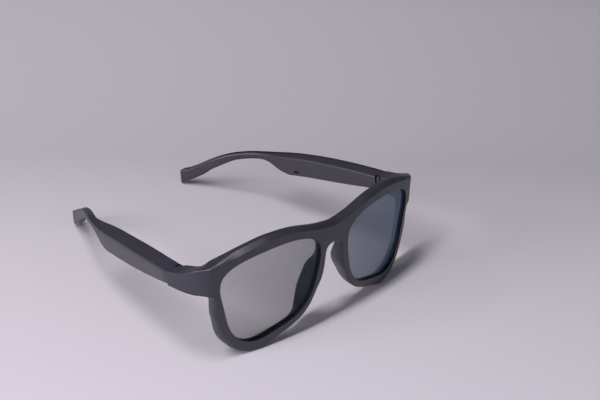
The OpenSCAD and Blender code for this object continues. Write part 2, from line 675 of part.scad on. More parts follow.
front_frame();
placed() lens();  // left_lens
placed() mirror([1, 0, 0]) lens();  // right_lens
on_left() hinge_front_leaf();  // left_hinge_front_leaf
on_left() hinge_temple_leaf();  // left_hinge_temple_leaf
on_left() hinge_screw();  // left_hinge_screw
on_right() hinge_front_leaf();  // right_hinge_front_leaf
on_right() hinge_temple_leaf();  // right_hinge_temple_leaf
on_right() hinge_screw();  // right_hinge_screw
above_table() on_left() temple_housing_shape(false);  // left_temple_housing
on_left() temple_cover_shape();  // left_temple_cover
on_left() battery_shape();  // left_battery
on_left() circuit_board_shape();  // left_circuit_board
on_left() microphone_shape();  // left_microphone
on_left() speaker_shape();  // left_speaker
on_left() speaker_mesh_shape();  // left_speaker_mesh
on_left() speaker_flex_shape();  // left_speaker_flex
above_table() on_right() temple_housing_shape(true);  // right_temple_housing
on_right() temple_cover_shape();  // right_temple_cover
on_right() battery_shape();  // right_battery
on_right() circuit_board_shape();  // right_circuit_board
on_right() microphone_shape();  // right_microphone
on_right() speaker_shape();  // right_speaker
on_right() speaker_mesh_shape();  // right_speaker_mesh
on_right() speaker_flex_shape();  // right_speaker_flex
on_right() power_button_shape();  // power_button
on_right() button_switch_shape();  // button_switch
on_right() charging_contacts_shape();  // charging_contacts
on_right() charging_magnets_shape();  // charging_magnets
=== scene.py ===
import math

import bmesh
import bpy
import numpy as np
from mathutils import Matrix


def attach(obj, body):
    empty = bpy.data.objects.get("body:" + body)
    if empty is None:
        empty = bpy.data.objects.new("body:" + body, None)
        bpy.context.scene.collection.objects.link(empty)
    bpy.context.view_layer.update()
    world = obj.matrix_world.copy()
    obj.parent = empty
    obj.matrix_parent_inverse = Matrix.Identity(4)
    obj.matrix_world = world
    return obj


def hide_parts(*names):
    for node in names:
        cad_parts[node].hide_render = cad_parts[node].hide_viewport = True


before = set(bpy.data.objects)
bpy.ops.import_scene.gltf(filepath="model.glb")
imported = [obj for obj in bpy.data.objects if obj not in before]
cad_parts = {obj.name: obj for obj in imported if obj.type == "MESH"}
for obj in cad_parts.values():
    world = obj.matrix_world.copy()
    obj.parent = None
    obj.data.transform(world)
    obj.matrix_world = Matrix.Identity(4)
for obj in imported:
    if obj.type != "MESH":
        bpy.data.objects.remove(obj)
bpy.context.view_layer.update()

# Table, light and camera
# A seamless matt sheet in pale lilac grey under an even sky. A narrow strip overhead lights the
# upper edges, a panel at the left lights the near side, and a weak one fills the front. The
# camera stands where the photograph was taken from: left of the front and above it.

VIEW_WIDTH_PX = 600
SENSOR_MM = 36
FOCAL_PX = 1120.2
CAMERA_MM = (-332.8, -368.55, 301.0)
CAMERA_TURN, CAMERA_DROP, CAMERA_ROLL = map(math.radians, (-46.56, 28.30, 2.74))


def linear(colour):
    """Turns an sRGB hex colour into Blender's linear red, green, blue and alpha."""
    parts = [int(colour[i:i + 2], 16) / 255 for i in (1, 3, 5)]
    return [c / 12.92 if c <= 0.04045 else ((c + 0.055) / 1.055) ** 2.4 for c in parts] + [1]


def add(tree, kind, sockets=None, **settings):
    """Adds one shader node, with its options, and sets or links its input sockets."""
    new = tree.nodes.new("ShaderNode" + kind)
    for key, value in settings.items():
        setattr(new, key, value)
    for key, value in (sockets or {}).items():
        if isinstance(value, bpy.types.NodeSocket):
            tree.links.new(value, new.inputs[key])
        else:
            new.inputs[key].default_value = value
    return new


def finish(name, shader_sockets):
    """Makes a material with one Principled shader, and returns it with its node tree."""
    material = bpy.data.materials.new(name)
    material.use_nodes = True
    tree = material.node_tree
    shader = tree.nodes["Principled BSDF"]
    for key, value in shader_sockets.items():
        shader.inputs[key].default_value = value
    return material, tree, shader


def table_sheet():
    """A plain square on z = 0, in metres, far wider than the picture. Its matt paper board is
    painted
    pale in front, darkest just behind the middle and pale again far off, along the camera's view:
    painted light and shade, not the board's own colour."""
    half, view_turn = 3.0, math.radians(-43.4)
    corners = [(-half, -half, 0), (half, -half, 0), (half, half, 0), (-half, half, 0)]
    mesh = bpy.data.meshes.new("table")
    mesh.from_pydata(corners, [], [(0, 1, 2, 3)])
    table = bpy.data.objects.new("table", mesh)
    bpy.context.collection.objects.link(table)
    material, tree, shader = finish("matt_paper_board", {
        "Roughness": 0.85, "Specular IOR Level": 0.2})
    place = add(tree, "TexCoord").outputs["Object"]
    turned = add(tree, "Mapping", {"Vector": place, "Rotation": (0, 0, view_turn)},
                 vector_type="TEXTURE")
    along = add(tree, "SeparateXYZ", {"Vector": turned.outputs["Vector"]}).outputs["Y"]
    depth = add(tree, "MapRange", {"Value": along, "From Min": -0.12, "From Max": 0.4})
    # This ramp paints light and shade on the board, darkest just behind the middle.
    shade = add(tree, "ValToRGB", {"Fac": depth.outputs["Result"]})
    ramp = shade.color_ramp.elements
    ramp[0].color, ramp[1].color = linear("#c6c3ce"), linear("#cbcad3")
    for position, colour in ((0.25, "#bfbcc6"), (0.45, "#b0aeb8")):
        ramp.new(position).color = linear(colour)
    tree.links.new(shade.outputs["Color"], shader.inputs["Base Color"])
    mesh.materials.append(material)
    return table


def soft_panel(name, place, size, watts, colour):
    """A rectangular area lamp at a place in metres, turned to face the object."""
    lamp = bpy.data.lights.new(name, "AREA")
    lamp.energy, lamp.color, lamp.shape = watts, linear(colour)[:3], "RECTANGLE"
    lamp.size, lamp.size_y = size
    panel = bpy.data.objects.new(name, lamp)
    panel.location = place
    panel.rotation_euler = (-panel.location).to_track_quat("-Z", "Y").to_euler()
    bpy.context.collection.objects.link(panel)


table_sheet()
soft_panel("overhead_strip", (-0.5, -0.06, 1.05), (0.12, 0.8), 11.6, "#fffafa")
soft_panel("left_panel", (-1.2, 0.25, 0.5), (0.7, 0.5), 10, "#fff9f7")
soft_panel("front_panel", (-0.2, -1.3, 0.7), (1.2, 0.8), 3, "#f6f8ff")

world = bpy.data.worlds.new("studio")
world.use_nodes = True
bpy.context.scene.world = world
sky = world.node_tree.nodes["Background"]
sky.inputs["Color"].default_value = linear("#d4d0dc")
sky.inputs["Strength"].default_value = 0.13

look = (-math.sin(CAMERA_TURN) * math.cos(CAMERA_DROP),
        math.cos(CAMERA_TURN) * math.cos(CAMERA_DROP), -math.sin(CAMERA_DROP))
right = (math.cos(CAMERA_TURN), math.sin(CAMERA_TURN), 0)
up = np.cross(right, look)
rolled_right = math.cos(CAMERA_ROLL) * np.array(right) + math.sin(CAMERA_ROLL) * up
rolled_up = math.cos(CAMERA_ROLL) * up - math.sin(CAMERA_ROLL) * np.array(right)
camera = bpy.data.objects.new("camera", bpy.data.cameras.new("camera"))
camera.data.sensor_width = SENSOR_MM
camera.data.lens = FOCAL_PX * SENSOR_MM / VIEW_WIDTH_PX
turn = np.eye(4)
turn[:3, 0], turn[:3, 1], turn[:3, 2] = rolled_right, rolled_up, -np.array(look)
turn[:3, 3] = np.array(CAMERA_MM) / 1000
camera.matrix_world = Matrix(turn.tolist())
bpy.context.collection.objects.link(camera)
bpy.context.scene.camera = camera
bpy.context.scene.view_settings.view_transform = "Standard"

# Front frame
# One injection moulding of glass-filled nylon: rims, bridge, brow bevel, endpieces and nose pads.
# It is a thick sheet round each lens opening, bent in plan to the face curve and the temples.
# Lengths are in millimetres: x to the wearer's left, y back from the face and z up.

CENTRE_Y = 76.9535
FACE_RADIUS, FRONT_DEPTH = 205, 5.5
LENS_W, LENS_H, LENS_X0, LENS_Z0 = 52.5, 46, 9.25, 5.8
LENS_X1 = LENS_X0 + LENS_W
LENS_MID = LENS_X0 + LENS_W / 2
RIM_X = LENS_X1 + 2.9
BROW, BRIDGE_DIP, ARCH_HEIGHT, ARCH_HALF = 57.3, 4.8, 42.2, 5.3
END_TOP, END_BOTTOM = 49.6, 35.4
HINGE_HALF, SEAM_BACK, SEAM_HEIGHT, SEAM_W = 73.4, 31, 38.4, 9
TEMPLE_YAW, TEMPLE_PITCH = math.radians(7), math.radians(9.4)
BEVEL_DROP, BEVEL_DEPTH, BEVEL_FLAT = 1.3, 2.5, 0.95
EDGE, SEAM_EDGE, BACK_EDGE = 0.6, 0.25, 0.8
RIM_EDGE, RIM_FALL, RIM_DEEP = 1.0, 1.7, 2.8
CORNER_DROP, BROW_DROOP, REAR_FLARE = 1.3, 0.35, 2
LENS_RECESS, LENS_THICK, LENS_BITE = 1.3, 1.8, 0.9
KNUCKLE_SPACE, BARREL_HALF, RELIEF, RELIEF_EXTRA = 2.2, 3.7, 1.3, 0.6
PIVOT_V = -SEAM_W / 2 + 1.65
TAIL_X = RIM_X + 5
TAIL_FOOT = (31, 35.2)


def smooth(x, low, high):
    """Rises softly from 0 at low to 1 at high: three t squared less two t cubed."""
    t = np.clip((np.asarray(x, float) - low) / (high - low), 0, 1)
    return t * t * (3 - 2 * t)


def spline(points, steps=12):
    """Catmull-Rom curve: each span is the cubic through its two ends with a tangent at each end
    of half the chord between the neighbours."""
    p = np.asarray(points, float)
    a, b = np.vstack([p[:1], p[:-2]]), p[:-1]
    c, d = p[1:], np.vstack([p[2:], p[-1:]])
    t = (np.arange(steps) / steps)[None, :, None]
    a, b, c, d = (k[:, None, :] for k in (a, b, c, d))
    run = 0.5 * (2 * b + (c - a) * t + (2 * a - 5 * b + 4 * c - d) * t ** 2
                 + (3 * b - a - 3 * c + d) * t ** 3)
    return np.vstack([run.reshape(-1, p.shape[1]), p[-1:]])


def arc_of(curve):
    """Distance along a curve up to each of its points."""
    return np.concatenate([[0], np.cumsum(np.linalg.norm(np.diff(curve, axis=0), axis=1))])


def at_arc(curve, where):
    """Points of a curve at given distances along it."""
    s = arc_of(curve)
    return np.stack([np.interp(where, s, curve[:, k]) for k in range(curve.shape[1])], -1)


def piece_from(name, points, faces, sharp=35.0, tones=None):
    """Makes a mesh object of points in millimetres with y measured from the face. Doubles are
    merged, flat leftovers dropped, and the faces turned outward by the sign of the volume. The
    tones say which of the piece's materials each face has."""
    mesh = bpy.data.meshes.new(name)
    mesh.from_pydata(((points - (0, CENTRE_Y, 0)) / 1000).tolist(), [], faces.tolist())
    if tones is not None:
        mesh.polygons.foreach_set("material_index", np.asarray(tones, np.int32))
    work = bmesh.new()
    work.from_mesh(mesh)
    bmesh.ops.remove_doubles(work, verts=work.verts, dist=2e-6)
    bmesh.ops.dissolve_degenerate(work, edges=work.edges, dist=1e-7)
    if work.calc_volume(signed=True) < 0:
        bmesh.ops.reverse_faces(work, faces=work.faces)
    work.to_mesh(mesh)
    work.free()
    mesh.shade_smooth()
    mesh.set_sharp_from_angle(angle=math.radians(sharp))
    piece = bpy.data.objects.new(name, mesh)
    bpy.context.collection.objects.link(piece)
    return piece


def grid_faces(rows, columns, close_rows=False, close_columns=False):
    """Quads of a rows by columns grid of points, closed round either way."""
    i = np.arange(rows if close_rows else rows - 1)[:, None]
    j = np.arange(columns if close_columns else columns - 1)[None, :]
    k, m = (i + 1) % rows, (j + 1) % columns
    return np.stack([i * columns + j, k * columns + j, k * columns + m, i * columns + m],
                    -1).reshape(-1, 4)


# The opening's squareness, and its waves: how many go round, and their cosine and sine heights.
LENS_POWER = 3.25
LENS_WAVES = ((2, -0.0355, -0.024), (3, -0.02, -0.013), (4, 0.006, 0.018), (5, 0.002, 0.002),
              (6, 0.001, -0.003))


def lens_raw(degrees):
    """Squarish superellipse, wider at the brow, with a few low waves."""
    t = np.radians(degrees)
    c, s = np.cos(t), np.sin(t)
    r = (np.abs(c) ** LENS_POWER + np.abs(s) ** LENS_POWER) ** (-1 / LENS_POWER)
    bow = sum(a * np.cos(k * t) + b * np.sin(k * t) for k, a, b in LENS_WAVES)
    return np.stack([r * c * (1 + 0.2 * r * s) + bow * c,
                     0.87 * r * s - 0.047 * r * c + bow * s], -1)


ROUND = np.linspace(0, 360, 1440, endpoint=False)
RAW_LOW, RAW_HIGH = lens_raw(ROUND).min(0), lens_raw(ROUND).max(0)


def lens_edge(degrees, grow=0.0):
    """Lens opening as [x, z], moved outward by grow, square to itself."""
    def plain(d):
        """The opening's own edge, scaled from the raw curve to its size and place."""
        share = (lens_raw(d) - RAW_LOW) / (RAW_HIGH - RAW_LOW)
        return share * (LENS_W, LENS_H) + (LENS_X0, LENS_Z0)

    along = plain(degrees + 0.5) - plain(degrees - 0.5)
    along /= np.linalg.norm(along, axis=-1, keepdims=True)
    outward = np.stack([along[..., 1], -along[..., 0]], -1)
    return plain(degrees) + np.asarray(grow)[..., None] * outward


def face_y(x, inset=0.0):
    """Depth of the curved face: a cylinder about an upright axis behind the wearer's nose."""
    return FACE_RADIUS - np.sqrt((FACE_RADIUS - inset) ** 2 - np.asarray(x, float) ** 2)


# Plan of the outer skin: the face curve, then round the corner to the seam. Distance "q" along it
# counts as x up to the lens's outer side, and as millimetres of skin beyond.
CORNER_Y = float(face_y(LENS_X1))
outer_turn = spline([(LENS_X1 - 1, face_y(LENS_X1 - 1)), (LENS_X1, CORNER_Y),
                     (LENS_X1 + 2.3, CORNER_Y + 0.75), (LENS_X1 + 4.2, CORNER_Y + 1.35),
                     (HINGE_HALF - 6.8, CORNER_Y + 1.7), (HINGE_HALF - 6.3, CORNER_Y + 2.2),
                     (HINGE_HALF - 4.3, CORNER_Y + 4.5), (HINGE_HALF - 2.1, CORNER_Y + 8.6),
                     (HINGE_HALF - 0.7, CORNER_Y + 14), (HINGE_HALF, SEAM_BACK)])[12:]
Q_END = LENS_X1 + arc_of(outer_turn)[-1]
INNER_FROM, RELIEF_BACK = 59.0, SEAM_BACK - RELIEF - RELIEF_EXTRA
inner_turn = np.vstack([
    spline([(INNER_FROM - 2, face_y(INNER_FROM - 2, FRONT_DEPTH)),
            (INNER_FROM, face_y(INNER_FROM, FRONT_DEPTH)),
            (60.6, face_y(60.4, FRONT_DEPTH) + 0.3), (62.8, 17.2), (63.7, 20.5), (64.05, 24.5),
            (64.25, RELIEF_BACK - 0.5)])[12:],
    [(64.3, RELIEF_BACK - 0.1), (64.7, RELIEF_BACK), (65.7, RELIEF_BACK),
     (66.05, RELIEF_BACK + 0.15), (66.1, SEAM_BACK - 0.3), (66.4, SEAM_BACK)]])


def outer_plan(q):
    """The skin's plan point at q."""
    q = np.asarray(q, float)
    flat = np.stack([q, face_y(np.minimum(q, LENS_X1))], -1)
    return np.where((q < LENS_X1)[..., None], flat, at_arc(outer_turn, q - LENS_X1))


def inner_plan(q, z):
    """The back's plan point behind q: straight behind it on a rim, a little closer in near the
    outer side, and as far along the inner curve of the endpiece as q is along the outer one. The
    two are softly mixed below and above the endpiece."""
    x = outer_plan(q)[..., 0]
    x = x - 1.3 * smooth(x, 59.5, 64.8)
    rim = np.stack([x, face_y(x, FRONT_DEPTH)], -1)
    share = np.clip((q - INNER_FROM) / (Q_END - INNER_FROM), 0, 1)
    tail = at_arc(inner_turn, share * arc_of(inner_turn)[-1])
    mix = smooth(z, *TAIL_FOOT) * (1 - smooth(z, 52, 56)) * (q > INNER_FROM)
    return rim + (tail - rim) * mix[..., None]


def read(run, u):
    """Value of a run of [along, value] points at distances along it."""
    return np.interp(u, run[:, 0], run[:, 1])


def q_of_x(x):
    """Where on the skin a point seen from ahead at x lies."""
    q = np.linspace(0, Q_END, 900)
    return np.interp(x, outer_plan(q)[:, 0], q)


def from_mid(f):
    """x at a fraction of the lens width from the lens's middle."""
    return LENS_MID + f * LENS_W


def up_lens(f):
    """z at a fraction of the lens height above the lens's lower edge."""
    return LENS_Z0 + f * LENS_H


END_DROP = BROW - END_TOP
top_points = [(0, BROW - BRIDGE_DIP)] + [
    (f * LENS_MID, BROW - g * BRIDGE_DIP)
    for f, g in ((0.17, 0.86), (0.34, 0.64), (0.51, 0.34), (0.68, 0.09))] + [
    (from_mid(f), BROW - g * END_DROP)
    for f, g in ((-0.08, 0), (0.06, 0.03), (0.17, 0.16), (0.29, 0.35), (0.4, 0.6))] + [
    (LENS_X1, BROW - 0.82 * END_DROP), (RIM_X + 1, BROW - END_DROP),
    (TAIL_X, END_TOP - CORNER_DROP)]
low_points = [
    (TAIL_X, END_BOTTOM), (RIM_X + 2.6, END_BOTTOM - 0.2), (RIM_X + 0.7, END_BOTTOM - 1.6),
    (RIM_X, END_BOTTOM - 4.6)] + [
    (RIM_X - f * LENS_W, z)
    for f, z in ((0.004, up_lens(0.42)), (0.026, up_lens(0.31)), (0.055, up_lens(0.2)),
                 (0.101, up_lens(0.09)), (0.165, 5.39), (0.238, 2.09), (0.32, 0.41))] + [
    (from_mid(f), z) for f, z in ((0.19, 0), (0.095, 0), (0.02, 1.28), (-0.08, 3.36),
                                  (-0.185, 5.45))] + [
    (LENS_X0 + f * LENS_W, up_lens(g))
    for f, g in ((0.206, 0.052), (0.15, 0.098), (0.084, 0.178), (0.05, 0.243),
                 (0.006, 0.337))] + [
    (ARCH_HALF + a, z)
    for a, z in ((2.1, up_lens(0.422)), (0.8, up_lens(0.515)), (0.1, ARCH_HEIGHT - 6.2),
                 (-0.3, ARCH_HEIGHT - 3), (-1.6, ARCH_HEIGHT - 0.8))] + [(0, ARCH_HEIGHT)]
# Upper and lower edge of the endpiece, by depth behind the face.
end_top_run = spline([(10, END_TOP - CORNER_DROP), (14.8, END_TOP - CORNER_DROP), (19.3, 46.2),
                      (23, 44.3), (27, 42.9), (32, 41.6), (34, 41.2)])
end_low_run = spline([(10, END_BOTTOM), (18.3, 35.2), (24, 35.1), (31, 34.7), (34, 34.5)])


# Marks of the outline's stretches that are asked for by name.
ON_BROW, ON_SEAM, ON_RIM, ON_MIDDLE = 0, 2, 4, 5


def front_outline():
    """Outline of the flattened sheet as [q, z] with a mark for each stretch, from the top of the
    bridge: 0 brow, 1 endpiece top, 2 seam, 3 endpiece bottom, 4 rim, 5 mid-plane."""
    steer = [(-top_points[1][0], top_points[1][1])] + top_points
    brow = spline(steer)[12:]
    q_tail = float(q_of_x(TAIL_X))
    brow[:, 0] = q_of_x(brow[:, 0])
    tail_q = np.linspace(q_tail, Q_END, 60)
    tail_y = outer_plan(tail_q)[:, 1]
    upper = np.stack([tail_q, np.interp(tail_y, end_top_run[:, 0], end_top_run[:, 1])], -1)
    lower = np.stack([tail_q, np.interp(tail_y, end_low_run[:, 0], end_low_run[:, 1])], -1)[::-1]
    rim = spline(low_points + [(-low_points[-2][0], low_points[-2][1])])[:-12]
    rim[:, 0] = q_of_x(rim[:, 0])
    runs = [(brow, 0.75), (upper, 1.0), (np.vstack([upper[-1], lower[0]]), 0.9), (lower, 1.0),
            (rim, 0.75)]
    points, marks = [], []
    for mark, (run, gap) in enumerate(runs):
        count = max(2, round(arc_of(run)[-1] / gap))
        points.append(at_arc(run, np.linspace(0, arc_of(run)[-1], count + 1)[:-1]))
        marks.append(np.full(count, mark))
    points.append([(0, ARCH_HEIGHT)])
    marks.append([ON_RIM])
    middle = np.linspace(ARCH_HEIGHT + 1, BROW - BRIDGE_DIP - BEVEL_DROP, 14)
    points.append(np.stack([0 * middle, middle], -1))
    marks.append(np.full(len(middle), ON_MIDDLE))
    return np.vstack(points), np.concatenate(marks)


# How far a nose pad stands out behind the rim, by height.
PAD_Z = (5.5, 8, 10.5, 13, 16, 19, 22, 27, 29.5, 32.3, 34.5, 36.5)
PAD_H = (0, 0.7, 1.7, 2.9, 4.0, 4.7, 5, 5, 4.5, 3.2, 1.4, 0)


def facing_of(edge, mark):
    """Direction in degrees round the lens opening that each outline point is joined to: that of
    the opening's nearest point, made to turn one way and evened out. The endpiece's points share
    out a stretch of the opening's outer side."""
    gaps = np.linalg.norm(edge[:, None] - lens_edge(ROUND)[None], axis=2)
    facing = np.degrees(np.unwrap(np.radians(ROUND[gaps.argmin(1)])))
    outer_side = np.linspace(-30, 90, 400)
    tail_from, tail_to = np.interp((48.3, 36.3), lens_edge(outer_side)[:, 1], outer_side)
    facing = np.where(mark == ON_BROW, np.maximum(facing, tail_from), facing)
    facing = np.where(mark == ON_RIM, np.minimum(facing, tail_to), facing)
    tail = np.flatnonzero((edge[:, 0] > RIM_X + 0.95) & (edge[:, 1] > 33))
    facing[tail] = np.interp(tail, tail[[0, -1]], (tail_from, tail_to))
    facing = np.minimum.accumulate(facing)
    width = 9
    padded = np.concatenate([facing[-width:] + 360, facing, facing[:width] - 360])
    for _ in range(2):
        padded = np.convolve(padded, np.ones(width) / width, "same")
    return padded[width:-width]


def inward_of(edge, mark):
    """Unit direction from each outline point into the sheet, square to the outline."""
    ahead, behind = np.roll(edge, -1, 0), np.roll(edge, 1, 0)
    along = (ahead - edge) / np.linalg.norm(ahead - edge, axis=1, keepdims=True) \
        + (edge - behind) / np.linalg.norm(edge - behind, axis=1, keepdims=True)
    along /= np.linalg.norm(along, axis=1, keepdims=True)
    inward = np.stack([along[:, 1], -along[:, 0]], -1)
    inward[0] = (0, -1)
    inward[np.flatnonzero(mark == ON_RIM)[-1]] = (0, 1)
    return inward


def edge_forms(x, mark):
    """How the edge is rounded at each outline point: its reach over the face, its reach back, how
    flat it is, and the radius of the rear edge. The brow has a flat bevel that runs out towards
    the endpiece, and a rim is rounder towards its outer side."""
    bevel = np.clip((RIM_X + 2 - x) / 12, 0, 1)
    outer = smooth(x, 12, 50)
    rim = (mark == ON_RIM) & (x < RIM_X + 1)
    stretches = [mark == ON_BROW, mark == ON_SEAM, mark == ON_MIDDLE, rim]
    fall = np.select(stretches, [EDGE + (BEVEL_DROP - EDGE) * bevel, SEAM_EDGE, 0,
                                 RIM_EDGE + (RIM_FALL - RIM_EDGE) * outer], EDGE)
    deep = np.select(stretches, [EDGE + (BEVEL_DEPTH - EDGE) * bevel, SEAM_EDGE, 0,
                                 RIM_EDGE + (RIM_DEEP - RIM_EDGE) * outer], EDGE)
    flat = np.where(mark == ON_BROW, BEVEL_FLAT * bevel, 0)
    back = np.select(stretches[1:3], [SEAM_EDGE, 0], BACK_EDGE)
    free = mark != ON_MIDDLE
    for values in (fall, deep, back):
        values[free] = np.convolve(np.pad(values[free], 2, "edge"), np.ones(5) / 5, "valid")
    return fall, deep, flat, back


def pad_height(x, z, mark):
    """How far the nose pad stands out at each outline point, evened out along the outline."""
    nose = (mark == ON_RIM) & (x < 19) & (z < 37)
    pad = np.where(nose, np.interp(z, PAD_Z, PAD_H), 0)
    pad = np.convolve(np.pad(pad, 4, "wrap"), np.ones(9) / 9, "valid")
    pad[mark == ON_MIDDLE] = 0
    return pad


def bend(place, share, over, pad):
    """Bends places on the flattened sheet to their plan. The share is how deep in the sheet a
    point lies, from 0 on the face to 1 on the back, and over is how far it stands out behind. The
    endpiece's upper and lower edges follow their runs, a nose pad widens away from the nose, and
    the seam is turned square to the temple."""
    q, z = place[..., 0], place[..., 1]
    skin_xy = outer_plan(q)
    xy = skin_xy + (inner_plan(q, z) - skin_xy) * share[..., None]
    in_tail = smooth(q, 62, 68) * smooth(z, *TAIL_FOOT) * (1 - smooth(z, 49.7, 52))
    rise = np.clip((z - END_BOTTOM) / (END_TOP - END_BOTTOM), 0, 1)
    upper, lower = (read(run, xy[..., 1]) - read(run, skin_xy[..., 1])
                    for run in (end_top_run, end_low_run))
    z = z + in_tail * (rise * upper + (1 - rise) * lower)
    spread = 1.6 * col(smooth(pad, 0, 4)) * np.clip((share * FRONT_DEPTH + over - 4) / 6.5, 0, 1)
    seam_fit = smooth(q, Q_END - 14, Q_END) * (
        (xy[..., 0] - HINGE_HALF + SEAM_W / 2) * math.sin(TEMPLE_YAW)
        + (z - SEAM_HEIGHT) * math.tan(TEMPLE_PITCH)) / math.cos(TEMPLE_YAW)
    return np.stack([xy[..., 0] + spread, xy[..., 1] + over + seam_fit, np.clip(z, 0, BROW)], -1)


def col(values):
    """Values as a column, one row for each outline point."""
    return np.asarray(values, float)[:, None]


def front_half():
    """The front's half on the wearer's left, as a ring of closed sections round the lens opening.
    A section runs up the opening's wall, out over the face, round the edge, back along the
    outside and in over the back. Each point is a place on the flattened sheet and a share of its
    thickness, and the sheet is then bent. Behind the nose side the back stands up as the nose
    pad. Returns the points, the faces and which of the faces line the opening."""
    edge, mark = front_outline()
    count = len(edge)
    x, z = edge.T
    facing, inward = facing_of(edge, mark), inward_of(edge, mark)
    fall, deep, flat, back = edge_forms(x, mark)
    pad = pad_height(x, z, mark)
    back = back + 0.6 * smooth(pad, 0, 3)
    room = np.linalg.norm(edge - lens_edge(facing), axis=1)
    thick = np.linalg.norm(inner_plan(x, z) - outer_plan(x), axis=1)
    nose_side = (1 - smooth(x, 22, 36)) * (1 - smooth(z, 26, 40))
    flare = np.minimum(REAR_FLARE + 1.6 * nose_side, (0.42 + 0.24 * nose_side) * room)
    droop = BROW_DROOP * col((mark == ON_BROW) * (1 - smooth(x, RIM_X - 16, RIM_X - 2)))

    def on_lens(grow):
        """The opening's edge beside every outline point, moved outward by grow."""
        shape = (count, grow.shape[-1])
        return lens_edge(np.broadcast_to(col(facing), shape), np.broadcast_to(grow, shape))

    def on_edge(inset):
        """The outline, moved into the sheet by inset."""
        inset = np.broadcast_to(inset, (count, inset.shape[-1]))
        return edge[:, None] + inset[..., None] * inward[:, None]

    parts = []

    def section(flat_place, share, over=0.0):
        """Adds the next columns of points to the ring's sections."""
        shape = flat_place.shape[:2]
        parts.append((flat_place, np.broadcast_to(share, shape), np.broadcast_to(over, shape)))

    # The opening's wall, from the lens out, and its eased front edge.
    ease = 0.3
    wall = np.linspace(1, 0, 5)[None, :]
    turn_in = np.linspace(0, math.pi / 2, 4)[None, 1:]
    t_ease, t_rear = col(ease / thick), col((LENS_RECESS + LENS_THICK - 0.2) / thick)
    section(on_lens(0 * wall), t_ease + (t_rear - t_ease) * wall)
    section(on_lens(ease * (1 - np.cos(turn_in))), t_ease * (1 - np.sin(turn_in)))

    # The face, and the rounded or bevelled edge beyond it.
    skin = np.linspace(0, 1, 31)[None, 1:]
    start, stop = on_lens(ease + 0 * wall[:, :1]), on_edge(col(fall))
    section(start + (stop - start) * skin[..., None], 0.0)
    turn_out = np.linspace(0, math.pi / 2, 9)[None, 1:]
    round_e, round_d = 1 - np.sin(turn_out), 1 - np.cos(turn_out)
    line = turn_out / (math.pi / 2)
    mixed_e = round_e + col(flat) * (1 - line - round_e)
    mixed_d = round_d + col(flat) * (line - round_d)
    section(on_edge(col(fall) * mixed_e), col(deep / thick) * mixed_d)

    # The outside, which droops a little behind the brow, and the rear edge.
    side = np.linspace(0, 1, 9)[None, 1:]
    turn_back = np.linspace(0, math.pi / 2, 7)[None, 1:]
    t_edge, t_back = col(deep / thick), 1 - col(back / thick)
    section(on_edge(droop * side ** 2), t_edge + (t_back - t_edge) * side, col(pad) * side)
    section(on_edge(droop + col(back) * (1 - np.cos(turn_back))),
            t_back + (1 - t_back) * np.sin(turn_back), col(pad))

    # The back with the nose pad's hump, and the opening's rear chamfer.
    start, stop = on_edge(droop + col(back)), on_lens(col(flare))
    inset = col(back) + col(room - back - flare) * skin
    edge_of_pad = np.minimum(3.7, room - 0.1)
    hump = 1 - smooth((inset - 1.7) / col(edge_of_pad - 1.7), 0, 1)
    section(start + (stop - start) * skin[..., None], 1.0, col(pad) * hump)
    rear = np.array([[0.12, 0.55, 0.9]])
    section(on_lens(col(flare) * (1 - rear)), 1 - (1 - t_rear) * rear ** 1.25,
            col(pad) * hump[:, -1:] * (1 - rear))

    place, share, over = (np.concatenate(each, 1) for each in zip(*parts))
    points = bend(place, share, over, pad)
    middle_x = points[mark == ON_MIDDLE, :, 0]
    points[mark == ON_MIDDLE, :, 0] = np.where(np.abs(middle_x) < 1e-6, 0, middle_x)
    columns = points.shape[1]
    faces = grid_faces(count, columns, True, True)
    points = points.reshape(-1, 3)
    keep = np.abs(points[faces][:, :, 0]).max(1) > 1e-6
    column = np.arange(columns)
    in_wall = (column <= wall.shape[1]) | (column >= columns - rear.shape[1] - 1)
    return points, faces[keep], np.tile(in_wall, count)[keep]


half_points, half_faces, half_wall = front_half()
both_points = np.vstack([half_points, half_points * (-1, 1, 1)])
both_faces = np.vstack([half_faces, half_faces[:, ::-1] + len(half_points)])
# The faces that line each opening take the second material, the painted shade.
front = piece_from("front_moulding", both_points, both_faces,
                   tones=np.concatenate([half_wall, half_wall]))


def carve(piece, *cutters):
    """Cuts shapes out of a piece with exact booleans, applied to its mesh."""
    for cutter in cutters:
        cut = piece.modifiers.new("cut", "BOOLEAN")
        cut.operation, cut.solver, cut.object = "DIFFERENCE", "EXACT", cutter
    shape = piece.evaluated_get(bpy.context.evaluated_depsgraph_get())
    mesh = bpy.data.meshes.new_from_object(shape)
    piece.modifiers.clear()
    piece.data = mesh
    mesh.name = piece.name
    for cutter in cutters:
        bpy.data.objects.remove(cutter)
    mesh.shade_smooth()
    mesh.set_sharp_from_angle(angle=math.radians(35))


def temple_place(v, u, w):
    """Turns across, along and up of the left temple into x, y and z in millimetres."""
    y = u * math.cos(TEMPLE_PITCH) + w * math.sin(TEMPLE_PITCH)
    z = w * math.cos(TEMPLE_PITCH) - u * math.sin(TEMPLE_PITCH)
    return np.stack([HINGE_HALF - SEAM_W / 2 + v * math.cos(TEMPLE_YAW) - y * math.sin(TEMPLE_YAW),
                     SEAM_BACK + v * math.sin(TEMPLE_YAW) + y * math.cos(TEMPLE_YAW),
                     SEAM_HEIGHT + z], -1)


def prism(side, outline, low, high, axis):
    """A closed prism in the temple's frame: an outline in its two other directions, swept from
    low to high along axis 0 across, 1 along or 2 up, with its ends closed by a fan."""
    outline = np.asarray(outline, float)
    middle = outline.mean(0)
    rings = [(middle + 0 * outline, low), (outline, low), (outline, high),
             (middle + 0 * outline, high)]
    points = np.stack([np.insert(ring, axis, value, axis=1) for ring, value in rings])
    points = temple_place(points[..., 0], points[..., 1], points[..., 2]) * (side, 1, 1)
    return piece_from("cutter", points.reshape(-1, 3), grid_faces(4, len(outline), False, True))


